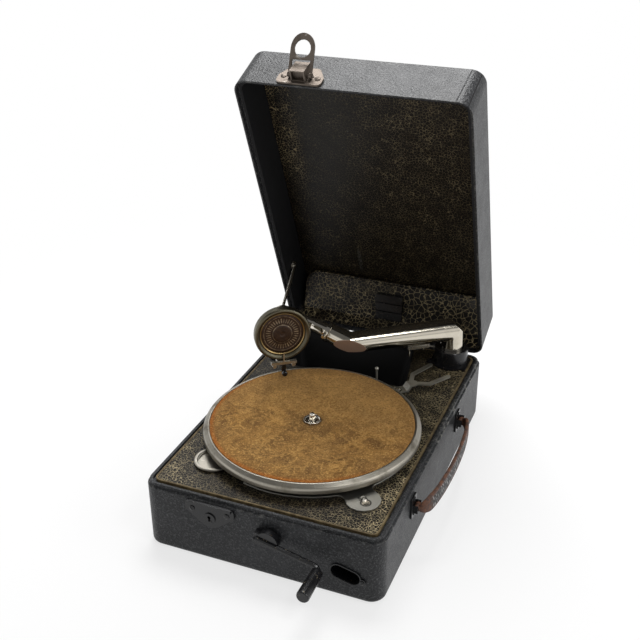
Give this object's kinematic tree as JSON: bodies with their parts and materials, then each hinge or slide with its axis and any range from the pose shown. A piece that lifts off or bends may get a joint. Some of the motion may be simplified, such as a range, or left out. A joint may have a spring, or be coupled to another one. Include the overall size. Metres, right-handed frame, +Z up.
{
  "type": "portable gramophone",
  "caption": "Portable wind-up gramophone with open lid, felt turntable, swinging tonearm and sound box, front crank, fork brake, needle cup and side strap handle.",
  "frame": {"origin": "centre of the underside of the case, on the surface that it stands on", "axes": "+X towards the side with the carrying handle, +Y towards the lid hinges at the back, +Z up; the crank is on the front, towards -Y"},
  "size_m": [0.3047, 0.5234, 0.5189],
  "materials": {
    "leathercloth": "black fine-grained leathercloth glued over thin wood",
    "bare_board": "plain stained plywood",
    "crackle_board": "dark brown crackle enamel with pale gold veins, on thin board",
    "crackle_sheet": "dark brown crackle enamel with pale gold veins, on sheet metal",
    "black_enamel": "worn black enamel",
    "dull_nickel": "dull, slightly spotted nickel plate",
    "bright_nickel": "polished nickel plate with light pitting",
    "grey_steel": "bare grey steel with stains",
    "motor_steel": "oiled steel",
    "brass": "tarnished brass",
    "cast_alloy": "nickelled cast alloy, worn matt",
    "brown_face": "dark brown lacquer",
    "felt": "golden brown worn felt",
    "strap_leather": "brown leather with a grey creased face"
  },
  "bodies": {
    "case": {"case_shell": "leathercloth", "bottom_board": "bare_board", "motor_board": "crackle_board", "sound_chamber": "black_enamel", "horn_throat": "black_enamel", "latch_keeper": "black_enamel", "crank_rose": "black_enamel", "crank_store": "black_enamel", "handle_bracket_front": "black_enamel", "handle_bracket_back": "black_enamel", "hinge_left_case": "dull_nickel", "hinge_right_case": "dull_nickel", "tonearm_base": "black_enamel", "motor_plate": "grey_steel", "motor_frame": "motor_steel", "governor_post_front": "motor_steel", "governor_post_back": "motor_steel"},
    "lid": {"lid_shell": "leathercloth", "lid_lining": "crackle_board", "sound_deflector": "crackle_sheet", "deflector_block": "black_enamel", "hinge_left_lid": "dull_nickel", "hinge_right_lid": "dull_nickel", "latch_plate": "dull_nickel", "stay_pin": "dull_nickel"},
    "hasp": {"latch_hasp": "dull_nickel"},
    "stay": {"lid_stay": "dull_nickel"},
    "turntable": {"platter": "dull_nickel", "felt_mat": "felt", "spindle": "bright_nickel", "spindle_washer": "dull_nickel"},
    "barrel": {"spring_barrel": "motor_steel"},
    "idler": {"idler_wheel": "brass"},
    "governor": {"governor": "brass"},
    "winder": {"winding_wheel": "motor_steel"},
    "crank": {"crank_hub": "black_enamel", "crank_arm": "black_enamel"},
    "grip": {"crank_grip": "black_enamel"},
    "tonearm": {"tonearm_tube": "bright_nickel", "trip_clamp": "dull_nickel", "swivel_ring": "bright_nickel"},
    "neck": {"gooseneck": "cast_alloy", "sound_box_shell": "cast_alloy", "sound_box_ring": "cast_alloy", "sound_box_bezel": "brass", "sound_box_face": "brown_face", "stylus_bar": "dull_nickel", "needle_holder": "black_enamel", "needle": "grey_steel"},
    "thumb_screw": {"needle_screw": "black_enamel"},
    "fork": {"brake_fork": "grey_steel"},
    "post": {"brake_post": "grey_steel"},
    "cup": {"needle_cup": "dull_nickel"},
    "handle": {"handle_strap": "strap_leather"}
  },
  "joints": [
    {"name": "lid_hinge", "type": "hinge", "parent": "case", "child": "lid", "pos_m": [0, 0.2092, 0.082], "axis": [-1, 0, 0], "range_deg": [-33, 0]},
    {"name": "stay_turn", "type": "hinge", "parent": "lid", "child": "stay", "pos_m": [-0.1292, 0.19569, 0.17577], "axis": [-1, 0, 0], "range_deg": [0, 47.7]},
    {"name": "hasp_turn", "type": "hinge", "parent": "lid", "child": "hasp", "pos_m": [-0.059, 0.0605, 0.47566], "axis": [1, 0, 0], "range_deg": [-24, 126]},
    {"name": "handle_swing", "type": "hinge", "parent": "case", "child": "handle", "pos_m": [0.1457, -0.013, 0.059], "axis": [0, 1, 0], "range_deg": [-50, 50]},
    {"name": "crank_turn", "type": "hinge", "parent": "case", "child": "crank", "pos_m": [0.015, -0.2163, 0.055], "axis": [0, 1, 0], "continuous": true},
    {"name": "grip_spin", "type": "hinge", "parent": "crank", "child": "grip", "pos_m": [0.07541, -0.2429, 0.04105], "axis": [0, 1, 0], "continuous": true},
    {"name": "winder_turn", "type": "hinge", "parent": "case", "child": "winder", "pos_m": [0.015, -0.121, 0.045], "axis": [0, 0, 1], "continuous": true},
    {"name": "turntable_spin", "type": "hinge", "parent": "case", "child": "turntable", "pos_m": [0, -0.053, 0.1], "axis": [0, 0, 1], "continuous": true},
    {"name": "barrel_turn", "type": "hinge", "parent": "case", "child": "barrel", "pos_m": [0.048, -0.07, 0.05], "axis": [0, 0, 1], "continuous": true},
    {"name": "idler_turn", "type": "hinge", "parent": "case", "child": "idler", "pos_m": [-0.024, -0.028, 0.06], "axis": [0, 0, 1], "continuous": true},
    {"name": "governor_spin", "type": "hinge", "parent": "case", "child": "governor", "pos_m": [-0.03, -0.084, 0.048], "axis": [0, 1, 0], "continuous": true},
    {"name": "tonearm_swing", "type": "hinge", "parent": "case", "child": "tonearm", "pos_m": [0.104, 0.1745, 0.11], "axis": [0, 0, 1], "range_deg": [-10, 12]},
    {"name": "neck_turn", "type": "hinge", "parent": "tonearm", "child": "neck", "pos_m": [-0.03456, 0.09202, 0.14058], "axis": [-0.9579, 0.0602, 0.2808], "range_deg": [0, 100]},
    {"name": "thumb_screw_turn", "type": "hinge", "parent": "neck", "child": "thumb_screw", "pos_m": [-0.07003, 0.02333, 0.1135], "axis": [0.5878, -0.809, 0], "range_deg": [0, 360]},
    {"name": "fork_swing", "type": "hinge", "parent": "case", "child": "fork", "pos_m": [0.06206, 0.07594, 0.086], "axis": [0, 0, 1], "range_deg": [-8, 14]},
    {"name": "post_swing", "type": "hinge", "parent": "case", "child": "post", "pos_m": [0.05193, 0.06202, 0.086], "axis": [0, 0, 1], "range_deg": [-10, 14]},
    {"name": "cup_swing", "type": "hinge", "parent": "case", "child": "cup", "pos_m": [-0.095, -0.1336, 0.086], "axis": [0, 0, 1], "range_deg": [-60, 0]}
  ],
  "couplings": [
    {"joint": "stay_turn", "follows": "lid_hinge", "ratio": -1.43},
    {"joint": "winder_turn", "follows": "crank_turn", "ratio": 0.571},
    {"joint": "barrel_turn", "follows": "turntable_spin", "ratio": -0.1},
    {"joint": "idler_turn", "follows": "turntable_spin", "ratio": -0.4},
    {"joint": "governor_spin", "follows": "turntable_spin", "ratio": 8}
  ]
}
